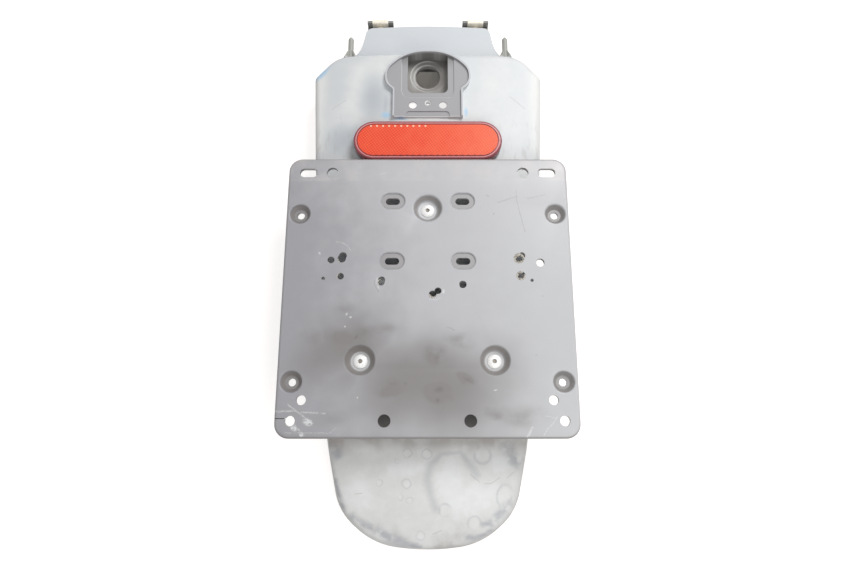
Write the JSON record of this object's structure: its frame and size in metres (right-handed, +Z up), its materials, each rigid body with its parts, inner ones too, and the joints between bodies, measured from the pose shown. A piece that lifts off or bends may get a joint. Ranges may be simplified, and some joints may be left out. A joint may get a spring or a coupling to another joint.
{
  "type": "scooter mud flap",
  "caption": "Rear mud flap of a motor scooter with a riveted number-plate holder and a red reflector, worn grey plastic.",
  "frame": {"origin": "midway between the two clip nuts, at the height where their threads begin", "axes": "+X to the right as seen from behind the scooter, +Y forward, +Z up in the plane of the plate"},
  "size_m": [0.19, 0.046, 0.3859],
  "materials": {
    "mudguard_plastic": "weathered light grey plastic",
    "holder_plastic": "scratched and grimy grey plastic",
    "rivet_metal": "dull bright aluminium",
    "mandrel_steel": "dark steel",
    "red_lens": "clear red prism lens",
    "dark_plastic": "plain black plastic",
    "zinc_steel": "zinc-plated steel",
    "gold_zinc": "yellow zinc plating"
  },
  "bodies": {
    "root": {"mudguard": "mudguard_plastic", "plate_holder": "holder_plastic", "plate_rivets": "rivet_metal", "rivet_mandrels": "mandrel_steel", "reflector_lens": "red_lens", "reflector_base": "dark_plastic", "reflector_studs": "zinc_steel", "reflector_nuts": "zinc_steel", "clip_nuts": "gold_zinc"}
  },
  "joints": []
}
